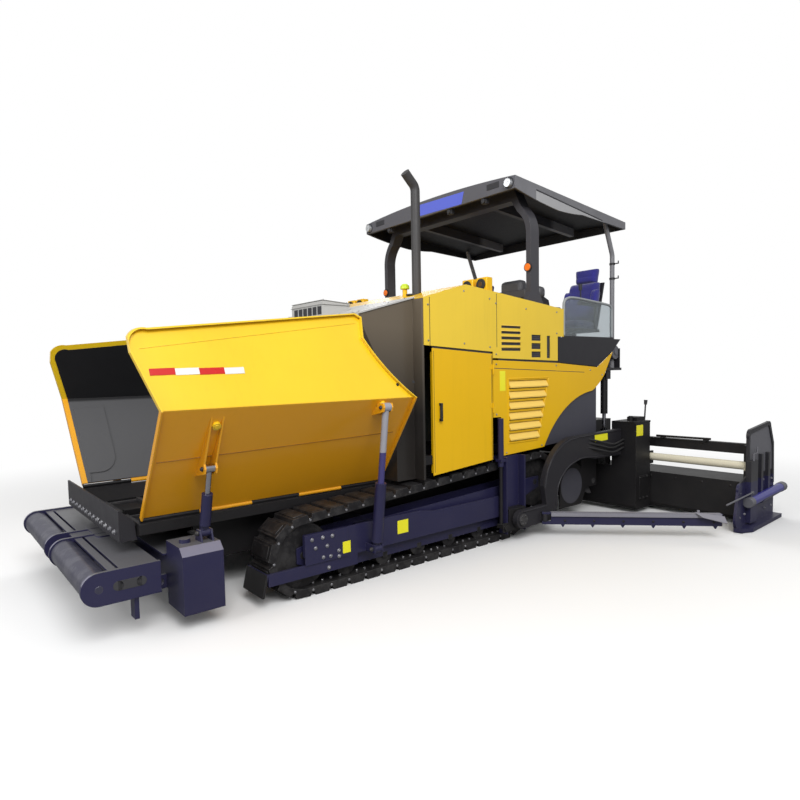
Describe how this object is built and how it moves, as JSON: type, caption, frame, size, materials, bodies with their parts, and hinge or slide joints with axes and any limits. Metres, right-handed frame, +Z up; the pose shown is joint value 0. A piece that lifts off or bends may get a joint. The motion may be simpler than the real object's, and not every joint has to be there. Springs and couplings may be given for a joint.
{
  "type": "tracked asphalt paver",
  "caption": "Tracked asphalt paver with folding hopper wings, slat conveyors, augers, canopy over the operator's stand and a lifting screed with sliding extensions.",
  "frame": {"origin": "on the ground, on the centreline, half-way between the push rollers' front and the end gates' rear", "axes": "+X forward to the hopper, +Y to the machine's left, +Z up"},
  "size_m": [7.081, 5.612, 3.7548],
  "materials": {
    "body_yellow": "satin enamel",
    "wing_yellow": "satin enamel",
    "frame_navy": "satin enamel",
    "charcoal": "textured enamel",
    "frame_black": "satin enamel",
    "cover_grey": "satin enamel",
    "roof_grey": "moulded, fine grain",
    "track_steel": "dusty, worn bright at the grousers",
    "roller_steel": "worn smooth",
    "wear_steel": "abraded",
    "rod_chrome": "polished",
    "exhaust_steel": "heat-dulled",
    "shield_clear": "clear",
    "seat_fabric": "woven",
    "lamp_glass": "clear moulded",
    "engine_iron": "painted"
  },
  "bodies": {
    "chassis": {"main_frame": "frame_black", "tunnel_housing": "frame_black", "hopper_beams": "frame_black", "conveyor": "wear_steel", "track_left": "track_steel", "track_right": "track_steel", "track_frames": "frame_navy", "track_wheels": "track_steel", "front_bumper": "frame_navy", "hopper_plates": "charcoal", "hood_sides": "charcoal", "hood_cover": "cover_grey", "upper_panels": "body_yellow", "hood_top": "body_yellow", "rear_panels": "body_yellow", "fenders": "charcoal", "operator_sides": "charcoal", "side_shields": "shield_clear", "deck": "charcoal", "engine_block": "engine_iron", "exhaust_pipe": "exhaust_steel", "console": "charcoal", "seats": "charcoal", "seat_cushions": "seat_fabric", "canopy_roof": "roof_grey", "canopy_posts": "charcoal", "lamps": "lamp_glass", "tow_guides": "frame_navy", "auger_carrier": "frame_black"},
    "push_beam": {"push_beam": "frame_navy"},
    "push_roller_left": {"push_roller_left": "roller_steel"},
    "push_roller_right": {"push_roller_right": "roller_steel"},
    "wing_left": {"wing_left": "wing_yellow", "wing_liner_left": "charcoal"},
    "wing_right": {"wing_right": "wing_yellow", "wing_liner_right": "charcoal"},
    "door_left": {"door_left": "body_yellow"},
    "door_right": {"door_right": "body_yellow"},
    "tow_blocks": {"tow_blocks": "frame_black"},
    "screed": {"screed_arms": "charcoal", "screed_main": "frame_black"},
    "extension_left": {"extension_left": "frame_black"},
    "extension_right": {"extension_right": "frame_black"},
    "end_gate_left": {"end_gate_left": "frame_navy"},
    "end_gate_right": {"end_gate_right": "frame_navy"},
    "lift_barrels": {"lift_barrels": "frame_black"},
    "lift_rods": {"lift_rods": "rod_chrome"},
    "auger_left": {"auger_left": "wear_steel"},
    "auger_right": {"auger_right": "wear_steel"},
    "blade_left": {"blade_left": "frame_navy"},
    "blade_right": {"blade_right": "frame_navy"},
    "front_ram_barrel_left": {"front_ram_barrel_left": "frame_navy"},
    "front_ram_rod_left": {"front_ram_rod_left": "rod_chrome"},
    "front_ram_barrel_right": {"front_ram_barrel_right": "frame_navy"},
    "front_ram_rod_right": {"front_ram_rod_right": "rod_chrome"},
    "rear_ram_barrel_left": {"rear_ram_barrel_left": "frame_navy"},
    "rear_ram_rod_left": {"rear_ram_rod_left": "rod_chrome"},
    "rear_ram_barrel_right": {"rear_ram_barrel_right": "frame_navy"},
    "rear_ram_rod_right": {"rear_ram_rod_right": "rod_chrome"}
  },
  "joints": [
    {"name": "push_beam_pivot", "type": "hinge", "parent": "chassis", "child": "push_beam", "pos_m": [3.1, 0, 0.4], "axis": [0, 0, 1], "range_deg": [-5, 5]},
    {"name": "push_roller_spin_left", "type": "hinge", "parent": "push_beam", "child": "push_roller_left", "pos_m": [3.43, 0.6225, 0.41], "axis": [0, 1, 0], "continuous": true},
    {"name": "wing_hinge_left", "type": "hinge", "parent": "chassis", "child": "wing_left", "pos_m": [2, 0.87, 0.74], "axis": [1, 0, 0], "range_deg": [-28, 10]},
    {"name": "door_hinge_left", "type": "hinge", "parent": "chassis", "child": "door_left", "pos_m": [-0.199, 1.258, 1.4], "axis": [0, 0, 1], "range_deg": [0, 85]},
    {"name": "extension_slide_left", "type": "slide", "parent": "screed", "child": "extension_left", "axis": [0, 1, 0], "range_m": [-1.04, 0.3]},
    {"name": "end_gate_slide_left", "type": "slide", "parent": "extension_left", "child": "end_gate_left", "axis": [0, 0, 1], "range_m": [0, 0.12]},
    {"name": "auger_spin_left", "type": "hinge", "parent": "chassis", "child": "auger_left", "pos_m": [-2.05, 0.62, 0.39], "axis": [0, 1, 0], "continuous": true},
    {"name": "blade_hinge_left", "type": "hinge", "parent": "screed", "child": "blade_left", "pos_m": [-0.76, 1.45, 0.2], "axis": [0, 0, -1], "range_deg": [0, 60]},
    {"name": "front_ram_tilt_left", "type": "hinge", "parent": "chassis", "child": "front_ram_barrel_left", "pos_m": [2.72, 1.115, 0.64], "axis": [-1, 0, 0], "range_deg": [-10.94, 29.74]},
    {"name": "front_ram_slide_left", "type": "slide", "parent": "front_ram_barrel_left", "child": "front_ram_rod_left", "axis": [0, 0.2712, 0.9625], "range_m": [-0.1308, 0.0487]},
    {"name": "rear_ram_tilt_left", "type": "hinge", "parent": "chassis", "child": "rear_ram_barrel_left", "pos_m": [1.36, 1.34, 0.295], "axis": [-1, 0, 0], "range_deg": [-7.68, 20.61]},
    {"name": "rear_ram_slide_left", "type": "slide", "parent": "rear_ram_barrel_left", "child": "rear_ram_rod_left", "axis": [0, 0.1352, 0.9908], "range_m": [-0.2795, 0.1017]},
    {"name": "push_roller_spin_right", "type": "hinge", "parent": "push_beam", "child": "push_roller_right", "pos_m": [3.43, -0.6225, 0.41], "axis": [0, 1, 0], "continuous": true},
    {"name": "wing_hinge_right", "type": "hinge", "parent": "chassis", "child": "wing_right", "pos_m": [2, -0.87, 0.74], "axis": [-1, 0, 0], "range_deg": [-28, 10]},
    {"name": "door_hinge_right", "type": "hinge", "parent": "chassis", "child": "door_right", "pos_m": [-0.199, -1.258, 1.4], "axis": [0, 0, -1], "range_deg": [0, 85]},
    {"name": "extension_slide_right", "type": "slide", "parent": "screed", "child": "extension_right", "axis": [0, -1, 0], "range_m": [-1.04, 0.3]},
    {"name": "end_gate_slide_right", "type": "slide", "parent": "extension_right", "child": "end_gate_right", "axis": [0, 0, 1], "range_m": [0, 0.12]},
    {"name": "auger_spin_right", "type": "hinge", "parent": "chassis", "child": "auger_right", "pos_m": [-2.05, -0.62, 0.39], "axis": [0, 1, 0], "continuous": true},
    {"name": "blade_hinge_right", "type": "hinge", "parent": "screed", "child": "blade_right", "pos_m": [-0.76, -1.45, 0.2], "axis": [0, 0, 1], "range_deg": [0, 60]},
    {"name": "front_ram_tilt_right", "type": "hinge", "parent": "chassis", "child": "front_ram_barrel_right", "pos_m": [2.72, -1.115, 0.64], "axis": [1, 0, 0], "range_deg": [-10.94, 29.74]},
    {"name": "front_ram_slide_right", "type": "slide", "parent": "front_ram_barrel_right", "child": "front_ram_rod_right", "axis": [0, -0.2712, 0.9625], "range_m": [-0.1308, 0.0487]},
    {"name": "rear_ram_tilt_right", "type": "hinge", "parent": "chassis", "child": "rear_ram_barrel_right", "pos_m": [1.36, -1.34, 0.295], "axis": [1, 0, 0], "range_deg": [-7.68, 20.61]},
    {"name": "rear_ram_slide_right", "type": "slide", "parent": "rear_ram_barrel_right", "child": "rear_ram_rod_right", "axis": [0, -0.1352, 0.9908], "range_m": [-0.2795, 0.1017]},
    {"name": "tow_point_slide", "type": "slide", "parent": "chassis", "child": "tow_blocks", "axis": [0, 0, 1], "range_m": [0, 0.15]},
    {"name": "screed_lift", "type": "hinge", "parent": "tow_blocks", "child": "screed", "pos_m": [-0.45, 0, 0.23], "axis": [0, 1, 0], "range_deg": [0, 10]},
    {"name": "lift_ram_tilt", "type": "hinge", "parent": "chassis", "child": "lift_barrels", "pos_m": [-2.345, 0, 1.65], "axis": [0, -1, 0], "range_deg": [-0.5, 13.65]},
    {"name": "lift_ram_slide", "type": "slide", "parent": "lift_barrels", "child": "lift_rods", "axis": [0, 0, -1], "range_m": [-0.309, 0.003]}
  ],
  "couplings": [
    {"joint": "front_ram_tilt_left", "follows": "wing_hinge_left", "ratio": -1.0445},
    {"joint": "front_ram_slide_left", "follows": "wing_hinge_left", "m_per_rad": 0.2616},
    {"joint": "rear_ram_tilt_left", "follows": "wing_hinge_left", "ratio": -0.71827},
    {"joint": "rear_ram_slide_left", "follows": "wing_hinge_left", "m_per_rad": 0.56579},
    {"joint": "front_ram_tilt_right", "follows": "wing_hinge_right", "ratio": -1.0445},
    {"joint": "front_ram_slide_right", "follows": "wing_hinge_right", "m_per_rad": 0.2616},
    {"joint": "rear_ram_tilt_right", "follows": "wing_hinge_right", "ratio": -0.71827},
    {"joint": "rear_ram_slide_right", "follows": "wing_hinge_right", "m_per_rad": 0.56579},
    {"joint": "lift_ram_tilt", "follows": "screed_lift", "ratio": 1.315},
    {"joint": "lift_ram_slide", "follows": "screed_lift", "m_per_rad": -1.7534}
  ]
}
